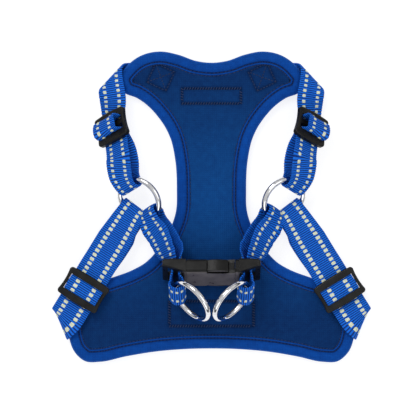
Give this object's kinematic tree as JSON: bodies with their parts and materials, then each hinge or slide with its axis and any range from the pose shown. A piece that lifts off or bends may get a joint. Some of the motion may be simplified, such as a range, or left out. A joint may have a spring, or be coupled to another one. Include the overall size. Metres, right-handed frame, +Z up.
{
  "type": "no-pull dog harness",
  "caption": "Padded dog harness with chest panel, webbing straps with sliding adjusters, side rings, side-release buckle and lead rings.",
  "frame": {"origin": "middle of the footprint, on the surface the harness lies on", "axes": "+Z up, out of the panel's lining; +Y towards the neck; +X across the panel"},
  "size_m": [0.23, 0.2242, 0.0522],
  "materials": {
    "outer_fabric": "woven polyester, matte",
    "foam": "soft foam padding",
    "lining_fabric": "padded air mesh, matte",
    "binding_fabric": "padded fabric binding, matte",
    "thread": "stitched thread",
    "webbing": "ribbed nylon webbing with reflective dashes",
    "ring_steel": "welded steel wire, nickel plated",
    "slider_plastic": "satin black acetal",
    "buckle_plastic": "satin black acetal"
  },
  "bodies": {
    "harness": {"outer_shell": "outer_fabric", "foam_core": "foam", "inner_lining": "lining_fabric", "edge_binding": "binding_fabric", "lining_stitches": "thread", "chest_band": "webbing", "neck_patch": "outer_fabric", "left_girth_strap": "webbing", "left_girth_ring_loop": "webbing", "left_shoulder_strap": "webbing", "left_shoulder_ring_loop": "webbing", "right_girth_strap": "webbing", "right_girth_ring_loop": "webbing", "right_shoulder_strap": "webbing", "right_shoulder_ring_loop": "webbing", "left_back_strap": "webbing", "right_back_strap_ring_end": "webbing", "buckle_socket": "buckle_plastic"},
    "left_girth_adjuster": {"left_girth_slider": "slider_plastic", "left_girth_slider_webbing": "webbing"},
    "left_shoulder_adjuster": {"left_shoulder_slider": "slider_plastic", "left_shoulder_slider_webbing": "webbing"},
    "left_side_ring": {"left_o_ring": "ring_steel"},
    "left_lead_ring": {"left_leash_ring": "ring_steel"},
    "right_girth_adjuster": {"right_girth_slider": "slider_plastic", "right_girth_slider_webbing": "webbing"},
    "right_shoulder_adjuster": {"right_shoulder_slider": "slider_plastic", "right_shoulder_slider_webbing": "webbing"},
    "right_side_ring": {"right_o_ring": "ring_steel"},
    "right_lead_ring": {"right_leash_ring": "ring_steel"},
    "plug": {"buckle_plug": "buckle_plastic", "right_back_strap_buckle_end": "webbing"},
    "upper_prong": {"upper_release_prong": "buckle_plastic"},
    "lower_prong": {"lower_release_prong": "buckle_plastic"}
  },
  "joints": [
    {"name": "left_girth_adjust", "type": "slide", "parent": "harness", "child": "left_girth_adjuster", "axis": [0.522, 0.853, 0], "range_m": [0, 0.025]},
    {"name": "left_shoulder_adjust", "type": "slide", "parent": "harness", "child": "left_shoulder_adjuster", "axis": [0.1111, -0.8988, 0.4241], "range_m": [0, 0.006]},
    {"name": "left_side_ring_turn", "type": "hinge", "parent": "harness", "child": "left_side_ring", "pos_m": [-0.0518, 0.0054, 0.017], "axis": [-0.4852, -0.4216, 0.766], "continuous": true},
    {"name": "right_girth_adjust", "type": "slide", "parent": "harness", "child": "right_girth_adjuster", "axis": [-0.522, 0.853, 0], "range_m": [0, 0.025]},
    {"name": "right_shoulder_adjust", "type": "slide", "parent": "harness", "child": "right_shoulder_adjuster", "axis": [-0.1111, -0.8988, 0.4241], "range_m": [0, 0.006]},
    {"name": "right_side_ring_turn", "type": "hinge", "parent": "harness", "child": "right_side_ring", "pos_m": [0.0518, 0.0054, 0.017], "axis": [-0.4852, 0.4216, -0.766], "continuous": true},
    {"name": "buckle_release", "type": "slide", "parent": "harness", "child": "plug", "axis": [1, 0, 0], "range_m": [0, 0.02], "deforming": ["upper_release_prong", "lower_release_prong"]},
    {"name": "upper_prong_flex", "type": "hinge", "parent": "plug", "child": "upper_prong", "pos_m": [0.017, -0.04407, 0.0308], "axis": [0, -0.9205, 0.3907], "range_deg": [0, 4.5], "stiffness_Nm_per_rad": 0.5},
    {"name": "lower_prong_flex", "type": "hinge", "parent": "plug", "child": "lower_prong", "pos_m": [0.017, -0.04993, 0.017], "axis": [0, 0.9205, -0.3907], "range_deg": [0, 4.5], "stiffness_Nm_per_rad": 0.5},
    {"name": "left_lead_ring_swing", "type": "hinge", "parent": "harness", "child": "left_lead_ring", "pos_m": [-0.0243, -0.0599, 0.0296], "axis": [0.0359, -0.6267, -0.7784], "range_deg": [0, 100]},
    {"name": "right_lead_ring_swing", "type": "hinge", "parent": "plug", "child": "right_lead_ring", "pos_m": [0.0243, -0.0599, 0.0296], "axis": [0.0359, 0.6267, 0.7784], "range_deg": [0, 100]}
  ]
}
